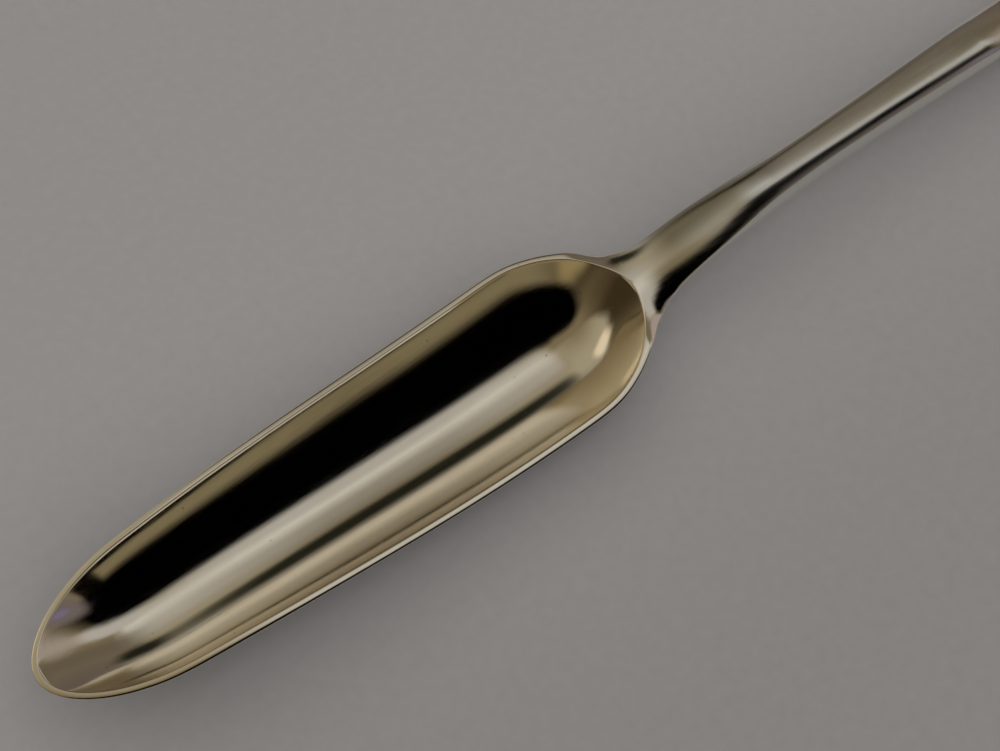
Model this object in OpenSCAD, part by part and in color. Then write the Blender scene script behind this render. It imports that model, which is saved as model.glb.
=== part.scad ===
// Marrow scoop: a wide trough bowl and a narrow channel scoop on one stem.
// Each scoop is forged with a short neck, and hard solder joins the neck to the
// stem at a sloping scarf joint. Sizes are in millimetres. +X runs from the wide
// tip to the narrow tip and +Z is up. The scoop lies on its two keels at Z = 0,
// and the origin is below the middle of its length.

/* [Wide bowl] */
// Length of the wide bowl, tip to heel
wide_len = 80; // [72:1:92]
// Greatest width of the wide bowl
wide_w = 22.8; // [19:0.2:27]
// Width that the wide bowl's sides start from at the rounded tip
wide_tip_w = 14.4; // [11:0.2:18]
// Greatest depth of the wide bowl outside, rim to keel
wide_depth = 7.4; // [6:0.1:9]
// Depth that the wide keel starts from at the tip
wide_tip_depth = 4.6; // [3.6:0.1:6]
// Length of the wide bowl's rounded tip, in plan
wide_tip_round = 13.4; // [10:0.1:18]
// Length of the wide bowl's rounded heel, in plan
wide_heel_round = 12.6; // [10:0.1:16]
// Length over which the wide keel sweeps up to the tip
wide_tip_sweep = 11; // [8:0.5:16]
// Length over which the wide keel sweeps up to the heel
wide_heel_sweep = 9; // [7:0.5:13]

/* [Narrow scoop] */
// Length of the narrow scoop, heel to tip
narrow_len = 72; // [64:1:82]
// Greatest width of the narrow scoop
narrow_w = 10.4; // [9:0.2:13]
// Width that the narrow scoop's sides start from at the rounded tip
narrow_tip_w = 8.6; // [7:0.2:10]
// Greatest depth of the narrow scoop outside, rim to keel
narrow_depth = 5; // [4:0.1:6.5]
// Depth that the narrow keel starts from at the tip
narrow_tip_depth = 4.4; // [3.6:0.1:5.5]
// Length of the narrow scoop's rounded tip, in plan
narrow_tip_round = 7; // [5:0.1:10]
// Length of the narrow scoop's rounded heel, in plan
narrow_heel_round = 8; // [6:0.1:11]
// Length over which the narrow keel sweeps up to the tip
narrow_tip_sweep = 9; // [6:0.5:14]
// Length over which the narrow keel sweeps up to the heel
narrow_heel_sweep = 9; // [6:0.5:14]

/* [Stem] */
// Length of the stem, from heel to heel
stem_len = 70; // [60:1:84]
// Width of the stem at the wide heel, before it flares
stem_root_w = 7.4; // [6:0.1:8.4]
// Width of the stem at its waist
stem_waist_w = 5.5; // [4.6:0.1:7]
// Width of the stem at the narrow heel
stem_far_w = 7; // [5.6:0.1:8.5]
// Distance from the wide heel to the waist
stem_waist_at = 30; // [20:1:40]
// Depth of the stem below its edge at the wide heel
stem_root_depth = 3.4; // [2.6:0.1:4.2]
// Depth of the stem below its edge at the narrow heel
stem_far_depth = 2.6; // [2:0.1:3.4]
// Rise of the stem's ridge above its edge near the wide heel
stem_root_crown = 2.5; // [1.8:0.1:3.2]
// Rise of the stem's ridge above its edge near the narrow heel
stem_far_crown = 2.3; // [1.6:0.1:3]
// Length over which the ridge rises from the wide heel's rim
wide_ramp = 21; // [14:0.5:26]
// Length over which the ridge rises from the narrow heel's rim
narrow_ramp = 12; // [9:0.5:15]
// Fall of the outer edge below the rim at the wide heel
wide_drop = 1.5; // [0.8:0.1:2]
// Fall of the outer edge below the rim at the narrow heel
narrow_drop = 0.5; // [0.2:0.1:0.9]
// Width that the stem's flare adds on each side inside the wide heel
wide_flare = 3.1; // [1:0.1:4]
// Width that the stem's flare adds on each side inside the narrow heel
narrow_flare = 0.5; // [0:0.1:1]
// Run of both flares along the stem
flare_run = 1.5; // [1:0.1:2.5]

/* [Profile] */
// Dip of the rim line below a straight line, in the wide bowl
rim_dip = 2.4; // [1:0.1:3.5]
// Distance past the wide heel at which the dip ends
dip_past_heel = 15; // [8:1:22]

/* [Wall and joints] */
// Thickness of the silver in both scoops
wall = 0.75; // [0.5:0.05:1.1]
// Distance from the wide heel to its scarf joint
wide_neck = 11; // [9:0.5:16]
// Distance from the narrow heel to its scarf joint
narrow_neck = 10; // [9:0.5:16]
// Slope of the scarf joints, run over rise
scarf_slope = 0.9; // [0.3:0.1:1.2]
// Thickness of the hard solder in a scarf joint, along the stem
solder = 0.2; // [0.1:0.05:0.4]

/* [Hidden] */
// The values of the two scoops, the wide one first
len = [wide_len, narrow_len];
half = [wide_w / 2, narrow_w / 2];
tip_half = [wide_tip_w / 2, narrow_tip_w / 2];
depth = [wide_depth, narrow_depth];
tip_depth = [wide_tip_depth, narrow_tip_depth];
tip_round = [wide_tip_round, narrow_tip_round];
heel_round = [wide_heel_round, narrow_heel_round];
tip_sweep = [wide_tip_sweep, narrow_tip_sweep];
heel_sweep = [wide_heel_sweep, narrow_heel_sweep];
neck = [wide_neck, narrow_neck];
// Half angle of the arc that a section follows: 90 is a half ellipse, less is a flared wall
arc_turn = [39, 76];
stem_turn = 90;
WIDE = 0;
NARROW = 1;

// Powers of the rounded ends, of the taper and of the joins between forms
tip_power = 2;
heel_power = 1.75;
taper_power = 2.1;
plan_power = 5;
depth_power = 4;
heel_crown_power = 1.6;
stem_crown_power = 2.8;
dip_power = 1.38;

// Places along the scoop, from the wide tip
wide_heel = wide_len;
narrow_heel = wide_len + stem_len;
total_len = narrow_heel + narrow_len;
wide_joint = wide_heel + wide_neck;
narrow_joint = narrow_heel - narrow_neck;
dip_end = wide_heel + dip_past_heel;
scarf_run = 8;
// Distance from the deepest dip to the place that the wide keel rests on
rest_past_dip = 6.5;
// Lengths over which the outer edge falls before a heel and comes back after it
drop_before = 4.5;
drop_after = [12, 9];
// Lengths from the wide and the narrow heel over which the crown grows squarer
crown_change = [35, 20];
// Share of the heel's length that the stem's section fades out over
fade = 1.6;
// Share of a neck's length, inside the heel, where the section starts to turn into the stem's
turn_lead = 0.5;

// Stations along a scoop, a neck and the stem, and steps across a section
scoop_rows = 40;
neck_rows = 9;
stem_rows = 22;
under_steps = 24;
floor_steps = 20;
crown_steps = 12;

function limit(t) = min(max(t, 0), 1);
// Rises from 0 to 1 with level ends
function ease(t) = let (c = limit(t)) c * c * (3 - 2 * c);
// Outline of a rounded end, from 0 at its point to 1 where the sides start
function round_end(t, power) = pow(1 - pow(1 - limit(t), power), 1 / power);
// Side view of a keel that sweeps up, from 0 at the rim to 1 at full depth
function sweep(t) = sin(90 * limit(t));
// Smooth join of three forms that lets the largest lead
function join(a, b, c, power) = pow(pow(a, power) + pow(b, power) + pow(c, power), 1 / power);
// Flare that grows from 0 to its full width over a few runs
function flare(width, t) = width / (1 + exp(t / flare_run));
// Stations that crowd towards both ends
function crowd(i, n) = (1 - cos(180 * i / n)) / 2;

// Growth of a scoop from its tip towards its heel, from 0 to 1
function taper(e, s) = 1 - pow(1 - limit(s / (len[e] - heel_round[e] / 2)), taper_power);

// A scoop's half width at a distance s from its tip, with its skin moved in
function scoop_half(e, s, inset) =
    (tip_half[e] + (half[e] - tip_half[e]) * taper(e, s) - inset)
    * round_end((s - inset) / (tip_round[e] - inset), tip_power)
    * round_end((len[e] - inset - s) / (heel_round[e] - inset), heel_power);

// A scoop's depth below its rim at a distance s from its tip, with its skin moved in
function scoop_depth(e, s, inset) =
    (tip_depth[e] + (depth[e] - tip_depth[e]) * taper(e, s) - inset)
    * sweep((s - inset) / tip_sweep[e])
    * sweep((len[e] - inset - s) / heel_sweep[e]);

// 1 between the heels, falling to 0 inside each scoop
function stem_share(x) =
    ease(1 + (x - wide_heel) / (fade * wide_heel_round))
    * ease(1 + (narrow_heel - x) / (fade * narrow_heel_round));

function stem_half(x) =
    (stem_waist_w
     + (stem_root_w - stem_waist_w) * (1 - ease((x - wide_heel) / stem_waist_at))
     + (stem_far_w - stem_waist_w) * ease((x - wide_heel - stem_waist_at) / (stem_len - stem_waist_at))) / 2
    + flare(wide_flare, x - wide_heel)
    + flare(narrow_flare, narrow_heel - x);

// A size that changes along the stem, from its root at the wide heel to its far end
function stem_step(root, far, x) = root + (far - root) * ease((x - wide_heel) / stem_len);
// 1 on the stem, falling to 0 at each heel over a length of its own
function between_heels(x, from_wide, from_narrow) =
    ease((x - wide_heel) / from_wide) * ease((narrow_heel - x) / from_narrow);

// The outer form at a distance x from the wide tip
function outer_half(x) =
    join(scoop_half(WIDE, x, 0), scoop_half(NARROW, total_len - x, 0),
         stem_half(x) * stem_share(x), plan_power);
function outer_depth(x) =
    join(scoop_depth(WIDE, x, 0), scoop_depth(NARROW, total_len - x, 0),
         stem_step(stem_root_depth, stem_far_depth, x) * stem_share(x), depth_power);
// Rise of the stem's ridge above the rim line
function rise(x) =
    stem_step(stem_root_crown, stem_far_crown, x) * between_heels(x, wide_ramp, narrow_ramp);
function crown_power(x) =
    heel_crown_power
    + (stem_crown_power - heel_crown_power) * between_heels(x, crown_change[WIDE], crown_change[NARROW]);
// Fall of the outer edge below the rim line, at a heel and at both
function heel_drop(depth, after, t) = depth * ease(1 + t / drop_before) * (1 - ease(t / after));
function drop(x) =
    heel_drop(wide_drop, drop_after[WIDE], x - wide_heel)
    + heel_drop(narrow_drop, drop_after[NARROW], narrow_heel - x);
function outer_turn(x) =
    let (from_wide = ease((x - wide_heel) / wide_neck + turn_lead))
    let (from_narrow = ease((narrow_heel - x) / narrow_neck + turn_lead))
    stem_turn
    - (stem_turn - arc_turn[WIDE]) * (1 - from_wide)
    - (stem_turn - arc_turn[NARROW]) * (1 - from_narrow);

// Dip of the rim in the wide bowl, and the places that the two keels rest on
function dip(x) = rim_dip * pow(sin(180 * pow(limit(x / dip_end), dip_power)), 2);
wide_rest = dip_end * pow(0.5, 1 / dip_power) + rest_past_dip;
narrow_rest = total_len - narrow_tip_sweep;
wide_line = scoop_depth(WIDE, wide_rest, 0) + dip(wide_rest);
narrow_line = scoop_depth(NARROW, narrow_tip_sweep, 0);
line_slope = (narrow_line - wide_line) / (narrow_rest - wide_rest);
// Height of the rim and of the stem's edge: a straight line that rests both
// keels on the ground, less the dip
function edge(x) = wide_line + line_slope * (x - wide_rest) - dip(x);

// Lean of the sections, greatest at the two scarf joints
function lean_near(x, joint) = pow(cos(90 * min(abs(x - joint) / scarf_run, 1)), 2);
function lean(x) = scarf_slope * (lean_near(x, wide_joint) - lean_near(x, narrow_joint));

// Stations of a scoop's skin from its tip to its scarf joint
function skin_station(e, i) =
    i <= scoop_rows
    ? (len[e] + wall) * crowd(i, scoop_rows)
    : len[e] + wall + (neck[e] - solder / 2 - wall) * (i - scoop_rows) / neck_rows;
function floor_station(e, i) = wall + (len[e] - 2 * wall) * crowd(i, scoop_rows);
// Distance from the wide tip of a station on either scoop
function along(e, s) = e == WIDE ? s : total_len - s;

keel_heights = [for (e = [WIDE, NARROW], i = [0 : scoop_rows])
    let (x = along(e, skin_station(e, i))) edge(x) - outer_depth(x)];
ground = min(keel_heights);

// Points of a section at x, with t from -1 at one edge to 1 at the other
function place(x, y, z) = [x + lean(x) * (z - edge(x)) - total_len / 2, y, z - ground];
function arc_drop(turn, t) = (cos(turn * t) - cos(turn)) / (1 - cos(turn));
function under_point(x, t) =
    let (turn = outer_turn(x))
    place(x, outer_half(x) * sin(turn * t) / sin(turn),
          edge(x) - drop(x) - (outer_depth(x) - drop(x)) * arc_drop(turn, t));
function crown_point(x, t) =
    let (y = sin(90 * t), power = crown_power(x))
    place(x, outer_half(x) * y,
          edge(x) - drop(x) + (rise(x) + drop(x)) * pow(1 - pow(abs(y), power), 1 / power));
function floor_point(e, s, t) =
    let (turn = arc_turn[e], x = along(e, s))
    place(x, scoop_half(e, s, wall) * sin(turn * t) / sin(turn),
          edge(x) - scoop_depth(e, s, wall) * arc_drop(turn, t));
// The narrow scoop's sections run the other way across, as seen from its own tip
function side(e) = e == WIDE ? 1 : -1;
function across(k, n) = 2 * k / n - 1;

// Two triangles of a four-cornered patch, and groups of triangles made into one list
function patch(a, b, c, d) = [[a, b, c], [a, c, d]];
function flat_list(groups) = [for (group = groups) for (item = group) item];

// One scoop with its neck: skin, hollow, rim and the scarf face at the neck's end
module scoop(e) {
    rows = scoop_rows + neck_rows;
    skin_start = 1;
    hollow_start = skin_start + rows * (under_steps + 1);
    hollow_heel = hollow_start + 1 + (scoop_rows - 1) * (floor_steps + 1);
    crown_start = hollow_heel + 1;
    face_middle = crown_start + (neck_rows + 1) * (crown_steps - 1);

    function skin(i, j) = i == 0 ? 0 : skin_start + (i - 1) * (under_steps + 1) + j;
    function hollow(i, k) =
        i == 0 ? hollow_start
        : i == scoop_rows ? hollow_heel
        : hollow_start + 1 + (i - 1) * (floor_steps + 1) + k;
    function top(i, k) =
        k == 0 ? skin(i, 0)
        : k == crown_steps ? skin(i, under_steps)
        : crown_start + (i - scoop_rows) * (crown_steps - 1) + k - 1;

    end_x = along(e, skin_station(e, rows));
    points = concat(
        [under_point(along(e, 0), 0)],
        [for (i = [1 : rows], j = [0 : under_steps])
            under_point(along(e, skin_station(e, i)), side(e) * across(j, under_steps))],
        [floor_point(e, floor_station(e, 0), 0)],
        [for (i = [1 : scoop_rows - 1], k = [0 : floor_steps])
            floor_point(e, floor_station(e, i), side(e) * across(k, floor_steps))],
        [floor_point(e, floor_station(e, scoop_rows), 0)],
        [for (i = [scoop_rows : rows], k = [1 : crown_steps - 1])
            crown_point(along(e, skin_station(e, i)), side(e) * across(k, crown_steps))],
        [place(end_x, 0, edge(end_x))]);

    skin_tip = [for (j = [0 : under_steps - 1]) [0, skin(1, j), skin(1, j + 1)]];
    skin_sides = flat_list([for (i = [1 : rows - 1], j = [0 : under_steps - 1])
        patch(skin(i, j), skin(i + 1, j), skin(i + 1, j + 1), skin(i, j + 1))]);
    hollow_ends = flat_list([for (k = [0 : floor_steps - 1]) [
        [hollow(0, 0), hollow(1, k + 1), hollow(1, k)],
        [hollow(scoop_rows, 0), hollow(scoop_rows - 1, k), hollow(scoop_rows - 1, k + 1)]]]);
    hollow_sides = flat_list([for (i = [1 : scoop_rows - 2], k = [0 : floor_steps - 1])
        patch(hollow(i, k), hollow(i, k + 1), hollow(i + 1, k + 1), hollow(i + 1, k))]);
    rim = flat_list([for (i = [0 : scoop_rows - 1]) concat(
        patch(skin(i, 0), hollow(i, 0), hollow(i + 1, 0), skin(i + 1, 0)),
        patch(hollow(i, floor_steps), skin(i, under_steps),
              skin(i + 1, under_steps), hollow(i + 1, floor_steps)))]);
    heel = [for (k = [0 : crown_steps - 1])
        [hollow(scoop_rows, 0), top(scoop_rows, k + 1), top(scoop_rows, k)]];
    neck_top = flat_list([for (i = [scoop_rows : rows - 1], k = [0 : crown_steps - 1])
        patch(top(i, k), top(i, k + 1), top(i + 1, k + 1), top(i + 1, k))]);
    scarf_face = concat(
        [for (j = [0 : under_steps - 1]) [face_middle, skin(rows, j + 1), skin(rows, j)]],
        [for (k = [0 : crown_steps - 1]) [face_middle, top(rows, k), top(rows, k + 1)]]);

    polyhedron(points, concat(skin_tip, skin_sides, hollow_ends, hollow_sides,
                              rim, heel, neck_top, scarf_face));
}

// A solid bar of the stem's own section between two places along it
module bar(from, to, rows) {
    loop = under_steps + crown_steps;
    function station(i) = from + (to - from) * i / rows;
    function ring(x) = concat(
        [for (j = [0 : under_steps - 1]) under_point(x, across(j, under_steps))],
        [for (k = [0 : crown_steps - 1]) crown_point(x, -across(k, crown_steps))]);
    function at(i, j) = i * loop + j % loop;
    first_middle = (rows + 1) * loop;
    last_middle = first_middle + 1;

    points = concat(
        [for (i = [0 : rows]) each ring(station(i))],
        [place(from, 0, edge(from)), place(to, 0, edge(to))]);
    sides = flat_list([for (i = [0 : rows - 1], j = [0 : loop - 1])
        patch(at(i, j), at(i + 1, j), at(i + 1, j + 1), at(i, j + 1))]);
    ends = flat_list([for (j = [0 : loop - 1]) [
        [first_middle, at(0, j), at(0, j + 1)],
        [last_middle, at(rows, j + 1), at(rows, j)]]]);
    polyhedron(points, concat(sides, ends));
}

module wide_bowl() {
    color("silver") scoop(WIDE);
}

module wide_solder_seam() {
    color("lightgray") bar(wide_joint - solder / 2, wide_joint + solder / 2, 1);
}

module stem() {
    color("darkgray") bar(wide_joint + solder / 2, narrow_joint - solder / 2, stem_rows);
}

module narrow_solder_seam() {
    color("lightgray") bar(narrow_joint - solder / 2, narrow_joint + solder / 2, 1);
}

module narrow_scoop() {
    color("silver") scoop(NARROW);
}

wide_bowl();
wide_solder_seam();
stem();
narrow_solder_seam();
narrow_scoop();
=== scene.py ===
"""Marrow scoop in old polished silver: a wide trough bowl and a narrow channel scoop on one stem.

Every visible piece is a surface worked out with numpy from the part's own sizes. Sizes are in
millimetres, measured from the tip of the wide bowl, and become metres as the meshes are made.
"""
import math

import bmesh
import bpy
import numpy as np
from mathutils import Matrix, Vector


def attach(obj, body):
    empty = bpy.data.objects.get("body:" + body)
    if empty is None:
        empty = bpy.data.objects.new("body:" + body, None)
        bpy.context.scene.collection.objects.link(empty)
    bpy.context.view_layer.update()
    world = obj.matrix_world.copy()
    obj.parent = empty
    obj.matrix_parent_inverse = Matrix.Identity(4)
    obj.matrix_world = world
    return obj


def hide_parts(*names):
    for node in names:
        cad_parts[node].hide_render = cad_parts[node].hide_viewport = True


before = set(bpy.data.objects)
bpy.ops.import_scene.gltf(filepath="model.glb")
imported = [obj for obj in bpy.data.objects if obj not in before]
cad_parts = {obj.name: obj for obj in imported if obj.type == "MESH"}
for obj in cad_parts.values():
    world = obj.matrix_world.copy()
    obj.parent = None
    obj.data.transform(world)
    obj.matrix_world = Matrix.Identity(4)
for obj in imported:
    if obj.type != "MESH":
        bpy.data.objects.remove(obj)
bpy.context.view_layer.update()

MM = 0.001

# Sizes of the two scoops, the wide one first
LENGTH = (80.0, 72.0)
HALF_WIDTH = (11.4, 5.2)
TIP_HALF_WIDTH = (7.2, 4.3)
DEPTH = (7.4, 5.0)
TIP_DEPTH = (4.6, 4.4)
TIP_ROUND = (13.4, 7.0)
HEEL_ROUND = (12.6, 8.0)
TIP_SWEEP = (11.0, 9.0)
HEEL_SWEEP = (9.0, 9.0)
ARC_TURN = (math.radians(39), math.radians(76))
NECK = (11.0, 10.0)
WIDE, NARROW = 0, 1
# Fuller arc inside a tip: what it adds to the half angle, and where it starts and stops fading
TIP_TURN, TIP_TURN_FROM, TIP_TURN_TO = (math.radians(10), 0.0), 12.0, 42.0

# Sizes of the stem and of the line that the rim and the stem's edge follow
STEM_LENGTH = 70.0
STEM_ROOT_WIDTH, STEM_WAIST_WIDTH, STEM_FAR_WIDTH = 7.4, 5.5, 7.0
STEM_WAIST_AT = 30.0
STEM_ROOT_DEPTH, STEM_FAR_DEPTH = 3.4, 2.6
STEM_ROOT_CROWN, STEM_FAR_CROWN = 2.5, 2.3
RAMP = (21.0, 12.0)
STEM_TURN = math.radians(90)
WIDE_FLARE, NARROW_FLARE, FLARE_RUN = 3.1, 0.5, 1.5
HEEL_DROP = (1.5, 0.5)
DROP_BEFORE = 4.5
DROP_AFTER = (12.0, 9.0)
RIM_DIP, DIP_PAST_HEEL, REST_PAST_DIP = 2.4, 15.0, 6.5
WALL = 0.75
SCARF_SLOPE, SCARF_RUN, SOLDER = 0.9, 8.0, 0.2

# Rounding of the worn rim, outside and inside, and the power by which its inner bead fades at the heel
RIM_ROUND, BEAD_ROUND, BEAD_WIDTH = 0.16, 0.08, 0.16
RIM_POWER, BEAD_FADE_POWER = 2.0, 8

# Powers of the rounded ends, of the taper and of the joins between forms
TIP_POWER, HEEL_POWER, TAPER_POWER = 2.0, 1.75, 2.1
PLAN_POWER, DEPTH_POWER, DIP_POWER = 5.0, 4.0, 1.38
HEEL_CROWN_POWER, STEM_CROWN_POWER = 1.6, 2.8
# Lengths from the two heels over which the crown grows squarer
CROWN_CHANGE = (35.0, 20.0)
# Share of the heel's length that the stem fades out over, and of a neck's length where the section turns
FADE, TURN_LEAD = 1.6, 0.5

# Running mean that smooths a scoop's profile: its longest run, its run as a share of the way to the
# nearer end, and its weights
MEAN_RUN, MEAN_SHARE, MEAN_STEPS = 5.0, 0.6, 11
MEAN_SHIFTS = np.linspace(-1.0, 1.0, MEAN_STEPS)
MEAN_BUMP = np.cos(0.5 * math.pi * MEAN_SHIFTS) ** 2
MEAN_WEIGHTS = MEAN_BUMP / np.sum(MEAN_BUMP)

# Places along the scoop
WIDE_HEEL = LENGTH[WIDE]
NARROW_HEEL = WIDE_HEEL + STEM_LENGTH
TOTAL = NARROW_HEEL + LENGTH[NARROW]
WIDE_JOINT = WIDE_HEEL + NECK[WIDE]
NARROW_JOINT = NARROW_HEEL - NECK[NARROW]
DIP_END = WIDE_HEEL + DIP_PAST_HEEL
WIDE_REST = DIP_END * 0.5 ** (1 / DIP_POWER) + REST_PAST_DIP
NARROW_REST = TOTAL - TIP_SWEEP[NARROW]

# Steps of the grids
SCOOP_ROWS, NECK_ROWS, STEM_ROWS = 220, 48, 200
SKIN_STEPS, RIM_STEPS, HOLLOW_STEPS = 96, 16, 88
SEAM_ROWS = 2
# Steps along the profile that finds the ground
PROFILE_STEPS = 4000
# Points that coincide on a grid of this many steps per metre are merged
WELD_STEPS = 1e8
# Limits that keep an exponential finite and a divisor above nothing
EXPONENT_LIMIT, SMALL = 50, 1e-6


def ease(t):
    """Rises from 0 to 1 with level ends."""
    t = np.clip(t, 0.0, 1.0)
    return t * t * (3 - 2 * t)


def round_end(t, power):
    """Outline of a rounded end: the power root of one less the power of what is left."""
    return np.maximum(1 - (1 - np.clip(t, 0.0, 1.0)) ** power, 0.0) ** (1 / power)


def sweep(t):
    """Side view of a keel that sweeps up: a quarter sine wave."""
    return np.sin(0.5 * math.pi * np.clip(t, 0.0, 1.0))


def join(power, *forms):
    """Root of summed powers, which lets the largest form lead and rounds the change between forms."""
    return sum(form ** power for form in forms) ** (1 / power)


def shoulder(t, power):
    """Fall of a rounded shoulder, from 0 on its top to 1 at its edge."""
    return 1 - np.maximum(1 - np.clip(t, 0.0, 1.0) ** power, 0.0) ** (1 / power)


def crowd(steps):
    """Shares from 0 to 1 that crowd towards both ends."""
    return (1 - np.cos(np.linspace(0.0, math.pi, steps + 1))) / 2


def along(end, s):
    """Distance from the wide tip of a place at distance s from a scoop's own tip."""
    return s if end == WIDE else TOTAL - s


def running_mean(profile, end, s, inset):
    """Weighted mean of a profile along a scoop, over a run that shrinks towards both of its ends."""
    room = np.minimum(s - inset, LENGTH[end] - inset - s)
    run = np.clip(MEAN_SHARE * room, 0.0, MEAN_RUN)
    return sum(weight * profile(end, s + run * shift, inset)
               for shift, weight in zip(MEAN_SHIFTS, MEAN_WEIGHTS))


def taper(end, s):
    """Growth of a scoop from its tip towards its heel, from 0 to 1 by a power law."""
    return 1 - (1 - np.clip(s / (LENGTH[end] - HEEL_ROUND[end] / 2), 0.0, 1.0)) ** TAPER_POWER


def plan_profile(end, s, inset):
    """Half width: a side that widens with the taper, times a rounded tip and a rounded heel."""
    side = TIP_HALF_WIDTH[end] + (HALF_WIDTH[end] - TIP_HALF_WIDTH[end]) * taper(end, s)
    tip = round_end((s - inset) / (TIP_ROUND[end] - inset), TIP_POWER)
    heel = round_end((LENGTH[end] - inset - s) / (HEEL_ROUND[end] - inset), HEEL_POWER)
    return (side - inset) * tip * heel


def keel_profile(end, s, inset):
    """Depth below the rim: a keel that deepens with the taper, times a swept tip and a swept heel."""
    keel = TIP_DEPTH[end] + (DEPTH[end] - TIP_DEPTH[end]) * taper(end, s)
    tip = sweep((s - inset) / TIP_SWEEP[end])
    heel = sweep((LENGTH[end] - inset - s) / HEEL_SWEEP[end])
    return (keel - inset) * tip * heel


def scoop_half(end, s, inset=0.0):
    """Smoothed half width at a distance s from the tip, with the skin moved in by an inset."""
    return running_mean(plan_profile, end, s, inset)


def scoop_depth(end, s, inset=0.0):
    """Smoothed depth at a distance s from the tip, with the skin moved in by an inset."""
    return running_mean(keel_profile, end, s, inset)


def stem_share(x):
    """One between the heels, falling to nothing inside each scoop."""
    wide = ease(1 + (x - WIDE_HEEL) / (FADE * HEEL_ROUND[WIDE]))
    narrow = ease(1 + (NARROW_HEEL - x) / (FADE * HEEL_ROUND[NARROW]))
    return wide * narrow


def flare(width, t):
    """Logistic step that adds a width over a few runs."""
    return width / (1 + np.exp(np.clip(t / FLARE_RUN, -EXPONENT_LIMIT, EXPONENT_LIMIT)))


def stem_half(x):
    """Half width: root, waist and far width joined by eased steps, with a flare into each heel."""
    root = (STEM_ROOT_WIDTH - STEM_WAIST_WIDTH) * (1 - ease((x - WIDE_HEEL) / STEM_WAIST_AT))
    far_run = STEM_LENGTH - STEM_WAIST_AT
    far = (STEM_FAR_WIDTH - STEM_WAIST_WIDTH) * ease((x - WIDE_HEEL - STEM_WAIST_AT) / far_run)
    return ((STEM_WAIST_WIDTH + root + far) / 2
            + flare(WIDE_FLARE, x - WIDE_HEEL) + flare(NARROW_FLARE, NARROW_HEEL - x))


def stem_step(root, far, x):
    """Eased change from a size at the wide heel to one at the narrow heel."""
    return root + (far - root) * ease((x - WIDE_HEEL) / STEM_LENGTH)


def outer_half(x):
    """Half width of the outer form: both scoops and the stem, joined by summed powers."""
    bar = stem_half(x) * stem_share(x)
    return join(PLAN_POWER, scoop_half(WIDE, x), scoop_half(NARROW, TOTAL - x), bar)


def outer_depth(x):
    """Depth of the outer form below the rim line: both scoops and the stem, joined by summed powers."""
    bar = stem_step(STEM_ROOT_DEPTH, STEM_FAR_DEPTH, x) * stem_share(x)
    return join(DEPTH_POWER, scoop_depth(WIDE, x), scoop_depth(NARROW, TOTAL - x), bar)


def dip(x):
    """Dip of the rim in the wide bowl: a squared sine over a power of the length."""
    return RIM_DIP * np.sin(math.pi * np.clip(x / DIP_END, 0.0, 1.0) ** DIP_POWER) ** 2


WIDE_LINE = keel_profile(WIDE, WIDE_REST, 0.0) + dip(WIDE_REST)
NARROW_LINE = keel_profile(NARROW, TIP_SWEEP[NARROW], 0.0)
LINE_SLOPE = (NARROW_LINE - WIDE_LINE) / (NARROW_REST - WIDE_REST)


def edge_above_keel(x):
    """Rim line: a straight line that rests both keels on the ground, less the dip in the wide bowl."""
    return WIDE_LINE + LINE_SLOPE * (x - WIDE_REST) - dip(x)


PROFILE = np.linspace(0.0, TOTAL, PROFILE_STEPS)
GROUND = float((edge_above_keel(PROFILE) - outer_depth(PROFILE)).min())


def edge(x):
    """Height of the rim line above the ground that the keels rest on."""
    return edge_above_keel(x) - GROUND


def rise(x):
    """Height of the stem's ridge above the rim line, level with the rim at both heels."""
    both = ease((x - WIDE_HEEL) / RAMP[WIDE]) * ease((NARROW_HEEL - x) / RAMP[NARROW])
    return stem_step(STEM_ROOT_CROWN, STEM_FAR_CROWN, x) * both


def crown_power(x):
    """Power of the stem's crown: a peaked oval at the heels, a squarer bar between them."""
    both = ease((x - WIDE_HEEL) / CROWN_CHANGE[WIDE]) * ease((NARROW_HEEL - x) / CROWN_CHANGE[NARROW])
    return HEEL_CROWN_POWER + (STEM_CROWN_POWER - HEEL_CROWN_POWER) * both


def drop_at_heel(end, t):
    """Fall of the outer edge below the rim line: eased in before a heel and out along its neck."""
    return HEEL_DROP[end] * ease(1 + t / DROP_BEFORE) * (1 - ease(t / DROP_AFTER[end]))


def heel_drop(x):
    """Fall of the outer edge below the rim line at both heels."""
    return drop_at_heel(WIDE, x - WIDE_HEEL) + drop_at_heel(NARROW, NARROW_HEEL - x)


def rim_round(x):
    """Rounding of the worn rim's outer edge, which fades out as it reaches each heel."""
    past_rim = ease((x - WIDE_HEEL) / DROP_BEFORE + 1) * ease((NARROW_HEEL - x) / DROP_BEFORE + 1)
    return RIM_ROUND * (1 - past_rim)


def edge_drop(x):
    """Whole fall of the outer edge below the rim line."""
    return heel_drop(x) + rim_round(x)


def section_turn(x):
    """Half angle of the arc that the underside follows: a flared wall in a scoop, a half oval on the stem."""
    from_wide = ease((x - WIDE_HEEL) / NECK[WIDE] + TURN_LEAD)
    from_narrow = ease((NARROW_HEEL - x) / NECK[NARROW] + TURN_LEAD)
    wide = (STEM_TURN - ARC_TURN[WIDE]) * (1 - from_wide)
    narrow = (STEM_TURN - ARC_TURN[NARROW]) * (1 - from_narrow)
    return STEM_TURN - wide - narrow


def lean(x):
    """Lean of the sections: a squared cosine bump at each scarf joint."""
    near = [np.cos(0.5 * math.pi * np.minimum(np.abs(x - at) / SCARF_RUN, 1.0)) ** 2
            for at in (WIDE_JOINT, NARROW_JOINT)]
    return SCARF_SLOPE * (near[0] - near[1])


def placed(x, y, z):
    """Points in metres, with leaning sections and the origin below the middle of the length."""
    x, y, z = np.broadcast_arrays(x, y, z)
    return np.stack([x + lean(x) * (z - edge(x)) - TOTAL / 2, y, z], axis=-1) * MM


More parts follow.
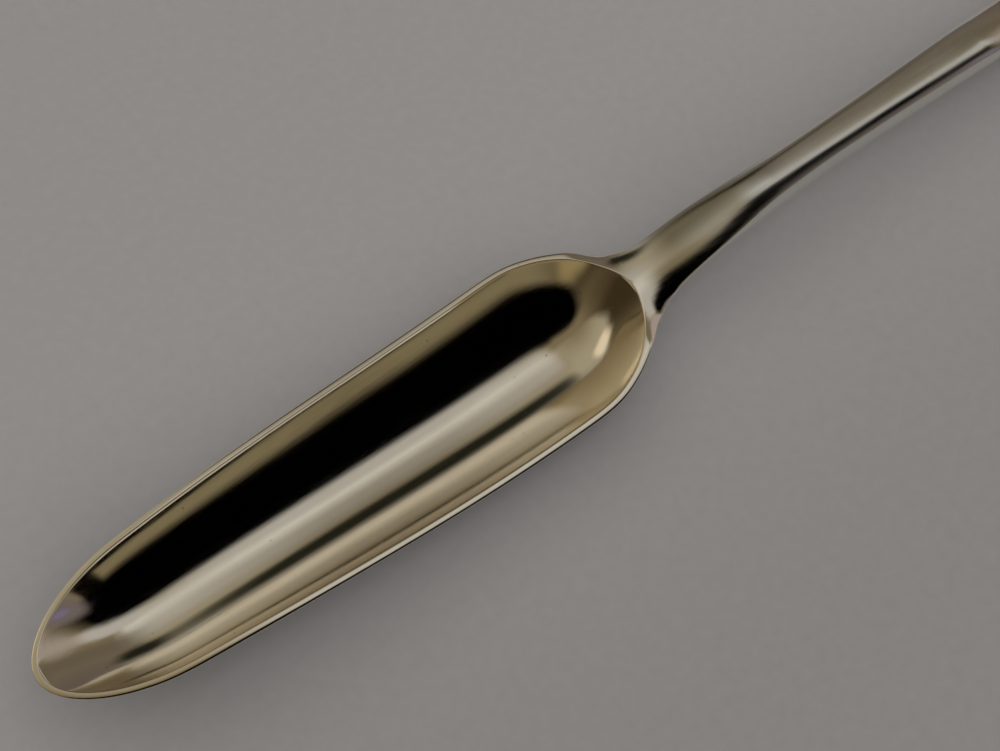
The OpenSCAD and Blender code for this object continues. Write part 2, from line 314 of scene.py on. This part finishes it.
def arc_section(half, top, depth, turn, t):
    """A section's width and height on an arc stretched to a half width and a depth, t from -1 to 1."""
    fall = (np.cos(turn * t) - np.cos(turn)) / (1 - np.cos(turn))
    return half * np.sin(turn * t) / np.sin(turn), top - depth * fall


def skin(x, t):
    """Underside of the scoops and the stem, hung from the outer edge."""
    drop = edge_drop(x)
    below = join(DEPTH_POWER, outer_depth(x), drop) - drop
    y, z = arc_section(outer_half(x), edge(x) - drop, below, section_turn(x), t)
    return x + 0 * t, y, z


def top_height(x, y, across_rim, from_hollow):
    """Rim, heel web and stem top: the ridge, less a crown's fall to the outer edge, a rounding across the
    rim and a bead at the hollow."""
    crown = (rise(x) + heel_drop(x)) * shoulder(np.abs(y) / outer_half(x), crown_power(x))
    bead = BEAD_ROUND * shoulder(1 - from_hollow / BEAD_WIDTH, RIM_POWER)
    return edge(x) + rise(x) - crown - rim_round(x) * shoulder(across_rim, RIM_POWER) - bead


def hollow(end, s, t):
    """Inside of a scoop, one wall thickness in from the skin's profiles and hung from the inner bead. Its
    arc may be fuller towards the tip."""
    x = along(end, s)
    half = scoop_half(end, s, WALL)
    lip = edge(x) - top_height(x, half, 0.0, 0.0)
    below = join(DEPTH_POWER, scoop_depth(end, s, WALL), lip) - lip
    from_tip = ease((s - TIP_TURN_FROM) / (TIP_TURN_TO - TIP_TURN_FROM))
    turn = ARC_TURN[end] + TIP_TURN[end] * (1 - from_tip)
    y, z = arc_section(half, edge(x) - lip, below, turn, t)
    return x + 0 * t, y, z


def weld(points, quads):
    """Merges points that coincide. A quad that loses one corner becomes a triangle, and one that loses more
    is left out."""
    steps = np.round(points * WELD_STEPS).astype(np.int64)
    _, first, where = np.unique(steps, axis=0, return_index=True, return_inverse=True)
    quads = where.reshape(-1)[quads]
    same = quads == np.roll(quads, -1, axis=1)
    whole = quads[~same.any(axis=1)]
    thin = same.sum(axis=1) == 1
    start = np.argmax(same[thin], axis=1)
    corners = (start[:, None] + np.array([1, 2, 3])) % 4
    triangles = np.take_along_axis(quads[thin], corners, axis=1)
    return points[first], whole.tolist() + triangles.tolist()


def loop_quads(rows, columns):
    """Quads of a grid of points that is numbered row by row, where each row is a closed loop."""
    i, j = np.meshgrid(np.arange(rows - 1), np.arange(columns), indexing="ij")
    a = i * columns + j
    b = i * columns + (j + 1) % columns
    return np.stack([a, a + columns, b + columns, b], axis=-1).reshape(-1, 4)


def make_surface(name, points, material):
    """A smooth surface on a grid of points whose rows are closed loops."""
    rows, columns = points.shape[:2]
    points, faces = weld(points.reshape(-1, 3), loop_quads(rows, columns))
    mesh = bpy.data.meshes.new(name)
    mesh.from_pydata(points.tolist(), [], faces)
    mesh.polygons.foreach_set("use_smooth", np.ones(len(mesh.polygons), dtype=bool))
    mesh.materials.append(material)
    mesh.update()
    piece = bpy.data.objects.new(name, mesh)
    bpy.context.scene.collection.objects.link(piece)
    return piece


def close_scarf_faces(mesh):
    """Closes the open scarf joints with flat faces and turns every face outwards."""
    shape = bmesh.new()
    shape.from_mesh(mesh)
    rims = [e for e in shape.edges if e.is_boundary]
    made = bmesh.ops.holes_fill(shape, edges=rims, sides=0)
    for face in made["faces"]:
        face.smooth = False
    for rim in rims:
        rim.smooth = False
    bmesh.ops.recalc_face_normals(shape, faces=shape.faces)
    shape.to_mesh(mesh)
    shape.free()
    mesh.update()


def scoop_piece(name, end, material):
    """One scoop with its neck. Rows run from tip to joint, and each row is one closed loop: the skin,
    one rim, the hollow and the other rim. Past the heel the hollow shrinks to a point on the ridge."""
    from_tip = crowd(SCOOP_ROWS)[:, None]
    s_skin = from_tip * (LENGTH[end] + WALL)
    s_hollow = WALL + from_tip * (LENGTH[end] - 2 * WALL)
    joint = LENGTH[end] + NECK[end] - SOLDER / 2
    neck = np.linspace(0.0, 1.0, NECK_ROWS + 1)[1:, None]
    t_skin = np.linspace(-1.0, 1.0, SKIN_STEPS + 1)[None, :]
    t_hollow = np.linspace(1.0, -1.0, HOLLOW_STEPS + 1)[None, :]
    across = crowd(RIM_STEPS)[None, 1:-1]

    neck_s = s_skin[-1] + neck * (joint - s_skin[-1])
    under = np.stack(skin(along(end, np.concatenate([s_skin, neck_s])), t_skin), axis=-1)
    inside = np.stack(hollow(end, s_hollow, t_hollow), axis=-1)
    pole = inside[-1, 0]
    ridge_s = LENGTH[end] - WALL + neck * (joint - LENGTH[end] + WALL)
    ridge_x = along(end, ridge_s)
    ridge_z = top_height(ridge_x, 0.0, 0.0, np.abs(ridge_x - pole[0]))
    ridge = np.stack([ridge_x, 0 * ridge_x, ridge_z], axis=-1)
    inside = np.concatenate([inside, np.repeat(ridge, HOLLOW_STEPS + 1, axis=1)])

    def rim(column):
        """Points from the hollow's edge to the skin's edge on one side, over the rim or the stem's top."""
        inner, outer = inside[:, -1 if column == 0 else 0], under[:, column]
        plan = inner[:, None, :2] + (outer - inner)[:, None, :2] * across[..., None]
        width = np.hypot(*(outer - inner)[:, :2].T)[:, None]
        bead = BEAD_WIDTH * np.concatenate([1 - from_tip ** BEAD_FADE_POWER, 0 * neck])
        past_bead = (across * width - bead) / np.maximum(width - bead, SMALL)
        ahead = np.hypot(plan[..., 0] - pole[0], plan[..., 1])
        from_hollow = np.where(np.arange(len(width))[:, None] > SCOOP_ROWS, ahead, across * width)
        z = top_height(plan[..., 0], plan[..., 1], past_bead, from_hollow)
        return np.concatenate([plan, z[..., None]], axis=-1)

    right, left = rim(SKIN_STEPS)[:, ::-1], rim(0)
    loop = np.concatenate([under, right, inside, left], axis=1)
    piece = make_surface(name, placed(*np.moveaxis(loop, -1, 0)), material)
    close_scarf_faces(piece.data)
    return piece


def bar_piece(name, start, end, rows, material):
    """A bar of the stem's own section: the underside's arc closed by the crowned top."""
    x = np.linspace(start, end, rows + 1)[:, None]
    t = np.linspace(-1.0, 1.0, SKIN_STEPS + 1)[None, :]
    under = np.stack(skin(x, t), axis=-1)
    across = np.concatenate([crowd(RIM_STEPS)[:0:-1], -crowd(RIM_STEPS)])[None, 1:-1]
    top_z = top_height(x, outer_half(x) * across, 0.0, BEAD_WIDTH)
    top = np.stack(np.broadcast_arrays(x, outer_half(x) * across, top_z), axis=-1)
    loop = np.concatenate([under, top], axis=1)
    piece = make_surface(name, placed(*np.moveaxis(loop, -1, 0)), material)
    close_scarf_faces(piece.data)
    return piece


def solder_piece(name, joint, material):
    """A slice of the bar that fills the gap at a scarf joint."""
    return bar_piece(name, joint - SOLDER / 2, joint + SOLDER / 2, SEAM_ROWS, material)


def new_material(name):
    """An empty node material with its shader and its Object coordinates."""
    material = bpy.data.materials.new(name)
    material.use_nodes = True
    nodes = material.node_tree.nodes
    shader = nodes["Principled BSDF"]
    place = nodes.new("ShaderNodeTexCoord")
    return material, nodes, material.node_tree.links, shader, place.outputs["Object"]


# Finish: tones, roughness between scratches and in them, and where along a neck the polish turns satin
POLISHED_TONES = ((0.87, 0.805, 0.685), (0.91, 0.85, 0.74))
SATIN_TONES = ((0.81, 0.80, 0.75), (0.86, 0.85, 0.80))
POLISHED_ROUGHNESS = (0.05, 0.12)
SATIN_ROUGHNESS = (0.16, 0.25)
SATIN_FROM, SATIN_FADE = 0.033, 0.014
# Clouds in the tone: cells per metre, detail, and noise levels of the dark and the light tone
CLOUD_SCALE, CLOUD_DETAIL, CLOUD_LEVELS = (90.0, 90.0, 90.0), 6.0, (0.35, 0.62)
# Scratches along a piece: cells per metre, detail, noise levels, and relief on the polish and the satin
SCRATCH_SCALE, SCRATCH_DETAIL, SCRATCH_LEVELS = (60.0, 2200.0, 2200.0), 4.0, (0.3, 0.7)
SCRATCH_RELIEF, SCRATCH_HEIGHT = (0.08, 0.12), 0.00005
NOISE_ROUGHNESS = 0.6
# Painted shade on the far side of the stem's root: its start and end along, its rise across, its share, and
# its tone, which the pits below share
ROOT_START, ROOT_END, ROOT_SIDE = (-0.029, -0.024), (-0.017, -0.006), (-0.002, 0.0015)
ROOT_SHADE_SHARE, SHADE_AND_PIT_TONE = 0.85, (0.30, 0.27, 0.21)
# Sparse pits with the same tone: cells per metre, radius as a share of a cell, full core as a share of
# the radius, and share of the tone
PIT_SCALE, PIT_SIZE, PIT_CORE, PIT_SHARE = 420.0, 0.055, 0.6, 0.7


def silver(name, dark_tone, light_tone):
    """Old silver: a warm tone that clouds slightly, with fine wear scratches along the piece. The bowls are
    polished, and along each neck the finish turns to a greyer satin. Painted shade darkens the far side of
    the stem's root, and the same dark tone marks some sparse pits."""
    material, nodes, links, shader, place = new_material(name)
    shader.inputs["Metallic"].default_value = 1.0

    def ranged(value, low, high, start, end):
        """Node that carries a value from one range to another."""
        made = nodes.new("ShaderNodeMapRange")
        made.inputs["From Min"].default_value = low
        made.inputs["From Max"].default_value = high
        made.inputs["To Min"].default_value = start
        made.inputs["To Max"].default_value = end
        links.new(value, made.inputs["Value"])
        return made

    def stretched_noise(scale, detail):
        """Noise with its own number of cells per metre along each axis."""
        stretch = nodes.new("ShaderNodeMapping")
        stretch.inputs["Scale"].default_value = scale
        links.new(place, stretch.inputs["Vector"])
        noise = nodes.new("ShaderNodeTexNoise")
        noise.inputs["Scale"].default_value = 1.0
        noise.inputs["Detail"].default_value = detail
        noise.inputs["Roughness"].default_value = NOISE_ROUGHNESS
        links.new(stretch.outputs["Vector"], noise.inputs["Vector"])
        return noise.outputs["Fac"]

    def combined(operation, first, second):
        """Two values put together by a math operation."""
        made = nodes.new("ShaderNodeMath")
        made.operation = operation
        links.new(first, made.inputs[0])
        links.new(second, made.inputs[1])
        return made.outputs[0]

    def clouded(clouds, dark, light):
        """Tone that goes from dark to light with the clouds."""
        tone = nodes.new("ShaderNodeValToRGB")
        for element, level, colour in zip(tone.color_ramp.elements, CLOUD_LEVELS, (dark, light)):
            element.position = level
            element.color = (*colour, 1.0)
        links.new(clouds, tone.inputs["Fac"])
        return tone.outputs["Color"]

    split = nodes.new("ShaderNodeSeparateXYZ")
    links.new(place, split.inputs["Vector"])
    from_middle = nodes.new("ShaderNodeMath")
    from_middle.operation = "ABSOLUTE"
    links.new(split.outputs["X"], from_middle.inputs[0])
    satin = ranged(from_middle.outputs[0], SATIN_FROM, SATIN_FROM - SATIN_FADE, 0.0, 1.0)

    clouds = stretched_noise(CLOUD_SCALE, CLOUD_DETAIL)
    tint = nodes.new("ShaderNodeMix")
    tint.data_type = "RGBA"
    links.new(satin.outputs["Result"], tint.inputs["Factor"])
    links.new(clouded(clouds, dark_tone, light_tone), tint.inputs["A"])
    links.new(clouded(clouds, *SATIN_TONES), tint.inputs["B"])

    # Painted shade on the far side of the stem's root, mixed into the colour together with the pits
    into_root = ranged(split.outputs["X"], *ROOT_START, 0.0, 1.0)
    past_root = ranged(split.outputs["X"], *ROOT_END, 1.0, 0.0)
    far_side = ranged(split.outputs["Y"], *ROOT_SIDE, 0.0, ROOT_SHADE_SHARE)
    for part in (into_root, past_root, far_side):
        part.interpolation_type = "SMOOTHSTEP"
    along_root = combined("MULTIPLY", into_root.outputs["Result"], past_root.outputs["Result"])
    painted_root_shade = combined("MULTIPLY", along_root, far_side.outputs["Result"])
    cells = nodes.new("ShaderNodeTexVoronoi")
    cells.inputs["Scale"].default_value = PIT_SCALE
    links.new(place, cells.inputs["Vector"])
    pits = ranged(cells.outputs["Distance"], PIT_SIZE, PIT_CORE * PIT_SIZE, 0.0, PIT_SHARE)
    shade_and_pits = nodes.new("ShaderNodeMix")
    shade_and_pits.data_type = "RGBA"
    shade_and_pits.inputs["B"].default_value = (*SHADE_AND_PIT_TONE, 1.0)
    links.new(combined("MAXIMUM", painted_root_shade, pits.outputs["Result"]), shade_and_pits.inputs["Factor"])
    links.new(tint.outputs["Result"], shade_and_pits.inputs["A"])
    links.new(shade_and_pits.outputs["Result"], shader.inputs["Base Color"])

    scratches = stretched_noise(SCRATCH_SCALE, SCRATCH_DETAIL)
    smooth = ranged(satin.outputs["Result"], 0.0, 1.0, POLISHED_ROUGHNESS[0], SATIN_ROUGHNESS[0])
    rough = ranged(satin.outputs["Result"], 0.0, 1.0, POLISHED_ROUGHNESS[1], SATIN_ROUGHNESS[1])
    polish = ranged(scratches, *SCRATCH_LEVELS, 0.0, 1.0)
    links.new(smooth.outputs["Result"], polish.inputs["To Min"])
    links.new(rough.outputs["Result"], polish.inputs["To Max"])
    links.new(polish.outputs["Result"], shader.inputs["Roughness"])

    relief = ranged(satin.outputs["Result"], 0.0, 1.0, *SCRATCH_RELIEF)
    bump = nodes.new("ShaderNodeBump")
    bump.inputs["Distance"].default_value = SCRATCH_HEIGHT
    links.new(relief.outputs["Result"], bump.inputs["Strength"])
    links.new(scratches, bump.inputs["Height"])
    links.new(bump.outputs["Normal"], shader.inputs["Normal"])
    return material


POLISHED = silver("polished_silver", *POLISHED_TONES)
WORN = silver("worn_silver", *SATIN_TONES)
SOLDERED = silver("silver_solder", *SATIN_TONES)

wide_bowl = scoop_piece("wide_bowl_silver", WIDE, POLISHED)
narrow_scoop = scoop_piece("narrow_scoop_silver", NARROW, POLISHED)
stem = bar_piece("stem_silver", WIDE_JOINT + SOLDER / 2, NARROW_JOINT - SOLDER / 2, STEM_ROWS, WORN)
wide_seam = solder_piece("wide_seam_solder", WIDE_JOINT, SOLDERED)
narrow_seam = solder_piece("narrow_seam_solder", NARROW_JOINT, SOLDERED)

for piece, node, slot in (
        (wide_bowl, "wide_bowl", "polished_silver"),
        (wide_seam, "wide_solder_seam", "silver_solder"),
        (stem, "stem", "worn_silver"),
        (narrow_seam, "narrow_solder_seam", "silver_solder"),
        (narrow_scoop, "narrow_scoop", "polished_silver")):
    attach(piece, "root")
    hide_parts(node)

# Stage: a pale mauve-grey table top and a low backdrop of the same paper all round it
TABLE_REACH, BACKDROP_HEIGHT = 2.6, 1.2
TABLE_RINGS, TABLE_SPOKES = 24, 96
# Paper: tones and mottle, matt finish, and the painted shade that it darkens to from the far side to the near
# side, standing in for the light falling off
PAPER_TONES = ((0.266, 0.257, 0.262), (0.303, 0.294, 0.296))
MOTTLE_SCALE, MOTTLE_DETAIL = 700.0, 3.0
PAPER_ROUGHNESS, PAPER_SPECULAR = 0.7, 0.2
FAR_FLOOR, NEAR_FLOOR, NEAR_PAINTED_SHADE = 0.03, -0.05, (0.84, 0.83, 0.81)


def stage_piece(name, ring, up, material):
    """A surface of revolution about the Z axis from a profile of radii and heights."""
    turn = np.linspace(0.0, 2 * math.pi, TABLE_SPOKES, endpoint=False)[None, :]
    ring, up = ring[:, None], up[:, None]
    points = np.stack(np.broadcast_arrays(ring * np.cos(turn), ring * np.sin(turn), up), axis=-1)
    piece = make_surface(name, points, material)
    return piece


def table_paper():
    """Matt mauve-grey paper with a faint mottle and a painted shade that darkens it slightly towards the near
    side.
    """
    material, nodes, links, shader, place = new_material("table_paper")
    mottle = nodes.new("ShaderNodeTexNoise")
    mottle.inputs["Scale"].default_value = MOTTLE_SCALE
    mottle.inputs["Detail"].default_value = MOTTLE_DETAIL
    links.new(place, mottle.inputs["Vector"])
    tone = nodes.new("ShaderNodeValToRGB")
    for element, colour in zip(tone.color_ramp.elements, PAPER_TONES):
        element.color = (*colour, 1.0)
    links.new(mottle.outputs["Fac"], tone.inputs["Fac"])

    # Painted shade: the light's falloff towards the near side, painted into the paper's colour
    split = nodes.new("ShaderNodeSeparateXYZ")
    links.new(place, split.inputs["Vector"])
    painted_shade_share = nodes.new("ShaderNodeMapRange")
    painted_shade_share.interpolation_type = "SMOOTHSTEP"
    painted_shade_share.inputs["From Min"].default_value = FAR_FLOOR
    painted_shade_share.inputs["From Max"].default_value = NEAR_FLOOR
    links.new(split.outputs["Y"], painted_shade_share.inputs["Value"])
    fall = nodes.new("ShaderNodeMix")
    fall.data_type = "RGBA"
    fall.blend_type = "MULTIPLY"
    fall.inputs["B"].default_value = (*NEAR_PAINTED_SHADE, 1.0)
    links.new(painted_shade_share.outputs["Result"], fall.inputs["Factor"])
    links.new(tone.outputs["Color"], fall.inputs["A"])
    links.new(fall.outputs["Result"], shader.inputs["Base Color"])
    shader.inputs["Roughness"].default_value = PAPER_ROUGHNESS
    shader.inputs["Specular IOR Level"].default_value = PAPER_SPECULAR
    return material


paper = table_paper()
RINGS = np.linspace(0.0, 1.0, TABLE_RINGS)
stage_piece("table_top", TABLE_REACH * RINGS, 0 * RINGS, paper)
# The silver mirrors the room's cards, not the backdrop that hides them from the camera
backdrop = stage_piece("backdrop", TABLE_REACH + 0 * RINGS, BACKDROP_HEIGHT * RINGS, paper)
backdrop.visible_glossy = False
backdrop.visible_shadow = False
backdrop.visible_diffuse = False

# Room light: soft cards painted by direction. Tilt is the angle from overhead towards +Y and lean is the
# angle towards +X, both in degrees. Each card has a tilt range, a lean range, a softness and a colour.
ROOM_TONE = (0.195, 0.163, 0.096)
CORNER_POWER = 3.0
CARDS = (
    ("left_wall", (-200, 200), (-180, -35), 0.35, (0.040, 0.027, 0.012)),
    ("upper_wall", (57, 200), (-35, 33), 0.20, (0.320, 0.295, 0.240)),
    ("upper_right_wall", (45, 200), (23, 73), 0.75, (0.110, 0.090, 0.084)),
    ("overhead_light", (3, 64), (-60, 22), 0.13, (0.360, 0.321, 0.230)),
    ("bright_window", (51, 68), (-47, -13), 0.40, (0.740, 0.640, 0.490)),
    ("bright_column", (-5, 38), (10, 33), 0.42, (0.580, 0.566, 0.526)),
    ("right_light", (-22, 7), (16, 55), 0.29, (0.435, 0.418, 0.395)),
    ("right_shade", (17, 46), (18, 83), 0.75, (0.132, 0.109, 0.079)),
    ("right_wall", (-200, 61), (53, 180), 0.08, (0.356, 0.314, 0.297)),
    ("dark_beam", (49, 68), (11, 34), 0.55, (0.014, 0.014, 0.009)),
    ("left_glow", (-111, -63), (-53, -38), 0.75, (0.268, 0.214, 0.104)),
    ("dark_soft", (-55, 21), (-62, 3), 0.75, (0.190, 0.152, 0.090)),
    ("dark_room", (-71, -9), (-55, 50), 0.17, (0.0, 0.0, 0.0)),
    ("dark_room_end", (-45, -8), (2, 15), 0.40, (0.0, 0.0, 0.0)),
    ("dark_table_edge", (-130, -83), (-5, 29), 0.08, (0.0, 0.0, 0.0)),
    ("dark_post", (-97, -29), (22, 32), 0.20, (0.0, 0.0, 0.0)),
    ("grey_patch", (-98, -48), (34, 50), 0.35, (0.155, 0.130, 0.130)),
    ("violet_spot", (-78, -65), (40, 45), 0.60, (0.18, 0.155, 0.27)),
)


def room_light():
    """World that layers the cards over the room's tone, each faded by smooth steps at its borders."""
    world = bpy.data.worlds.new("studio_room")
    bpy.context.scene.world = world
    world.use_nodes = True
    nodes, links = world.node_tree.nodes, world.node_tree.links
    place = nodes.new("ShaderNodeTexCoord")
    split = nodes.new("ShaderNodeSeparateXYZ")
    links.new(place.outputs["Generated"], split.inputs["Vector"])

    def math_node(operation, first, second=None):
        """A math operation on one or two values."""
        made = nodes.new("ShaderNodeMath")
        made.operation = operation
        links.new(first, made.inputs[0])
        if second is not None:
            links.new(second, made.inputs[1])
        return made.outputs[0]

    def number(operation, first, second):
        """A math operation on a value and a fixed number."""
        made = nodes.new("ShaderNodeMath")
        made.operation = operation
        links.new(first, made.inputs[0])
        made.inputs[1].default_value = second
        return made.outputs[0]

    def reach(value, span):
        """Distance from the middle of a span as a share of its half, raised to the corner's power."""
        middle, half = math.radians(sum(span) / 2), math.radians((span[1] - span[0]) / 2)
        away = math_node("ABSOLUTE", number("SUBTRACT", value, middle))
        return number("POWER", number("DIVIDE", away, half), CORNER_POWER)

    def card_mask(tilts, leans, soft):
        """1 on a card with rounded corners, falling to 0 over its softness."""
        both = math_node("ADD", reach(tilt, tilts), reach(side, leans))
        made = nodes.new("ShaderNodeMapRange")
        made.interpolation_type = "SMOOTHSTEP"
        made.inputs["From Min"].default_value = 1 + soft
        made.inputs["From Max"].default_value = 1 - soft
        links.new(number("POWER", both, 1 / CORNER_POWER), made.inputs["Value"])
        return made.outputs["Result"]

    tilt = math_node("ARCTAN2", split.outputs["Y"], split.outputs["Z"])
    side = math_node("ARCSINE", split.outputs["X"])
    colour = None
    for name, tilts, leans, soft, tone in CARDS:
        mask = card_mask(tilts, leans, soft)
        layer = nodes.new("ShaderNodeMix")
        layer.name = name
        layer.data_type = "RGBA"
        layer.inputs["A"].default_value = (*ROOM_TONE, 1.0)
        if colour is not None:
            links.new(colour, layer.inputs["A"])
        layer.inputs["B"].default_value = (*tone, 1.0)
        links.new(mask, layer.inputs["Factor"])
        colour = layer.outputs["Result"]
    links.new(colour, nodes["Background"].inputs["Color"])
    nodes["Background"].inputs["Strength"].default_value = 1.0


room_light()


def soft_lamp(name, place, aim, size, power):
    """A square lamp that lights the table and its shadow; the cards stand for it in the silver."""
    data = bpy.data.lights.new(name, "AREA")
    data.size = size
    data.energy = power
    lamp = bpy.data.objects.new(name, data)
    bpy.context.scene.collection.objects.link(lamp)
    lamp.location = place
    lamp.rotation_euler = (Vector(aim) - Vector(place)).to_track_quat("-Z", "Y").to_euler()
    lamp.visible_glossy = False


soft_lamp("overhead_softbox", place=(0.0, 0.4, 1.6), aim=(0.0, 0.1, 0.0), size=3.0, power=22.0)
soft_lamp("near_softbox", place=(0.1, -1.0, 1.3), aim=(0.0, 0.0, 0.0), size=2.0, power=19.0)

# Camera: stands on the near side, above the wide tip. The aim is a place above the ground in the wide
# bowl, its pixel in the picture and its distance along the axis.
IMAGE_WIDTH, IMAGE_HEIGHT = 1000, 751
FOCAL_PX = 1600.0
SENSOR = 36.0
NEAR_CLIP = 0.01
VIEW_AZIMUTH, VIEW_ELEVATION, VIEW_ROLL = 52.153, 63.142, -0.278
AIM_HEIGHT = 7.65
AIM = (LENGTH[WIDE] / 2 - TOTAL / 2, 0.0, AIM_HEIGHT)
AIM_PX = (358.962, 473.318)
AIM_DEPTH = 177.409


def look():
    """Camera whose axis has the view's azimuth and elevation, set so that the aim falls on its pixel."""
    azimuth, elevation, roll = (math.radians(a) for a in (VIEW_AZIMUTH, VIEW_ELEVATION, VIEW_ROLL))
    forward = Vector((math.cos(elevation) * math.cos(azimuth), math.cos(elevation) * math.sin(azimuth),
                      -math.sin(elevation)))
    level = Vector((math.sin(azimuth), -math.cos(azimuth), 0.0))
    upright = level.cross(forward)
    right = math.cos(roll) * level + math.sin(roll) * upright
    up = math.cos(roll) * upright - math.sin(roll) * level
    aim_right = (AIM_PX[0] - IMAGE_WIDTH / 2) / FOCAL_PX
    aim_down = (AIM_PX[1] - IMAGE_HEIGHT / 2) / FOCAL_PX
    to_aim = forward + right * aim_right - up * aim_down
    place = (Vector(AIM) - AIM_DEPTH * to_aim) * MM

    data = bpy.data.cameras.new("view")
    data.sensor_width = SENSOR
    data.lens = FOCAL_PX / IMAGE_WIDTH * SENSOR
    data.clip_start = NEAR_CLIP
    camera = bpy.data.objects.new("view", data)
    bpy.context.scene.collection.objects.link(camera)
    camera.matrix_world = Matrix.Translation(place) @ Matrix((right, up, -forward)).transposed().to_4x4()
    bpy.context.scene.camera = camera


look()

bpy.context.scene.view_settings.view_transform = "Standard"
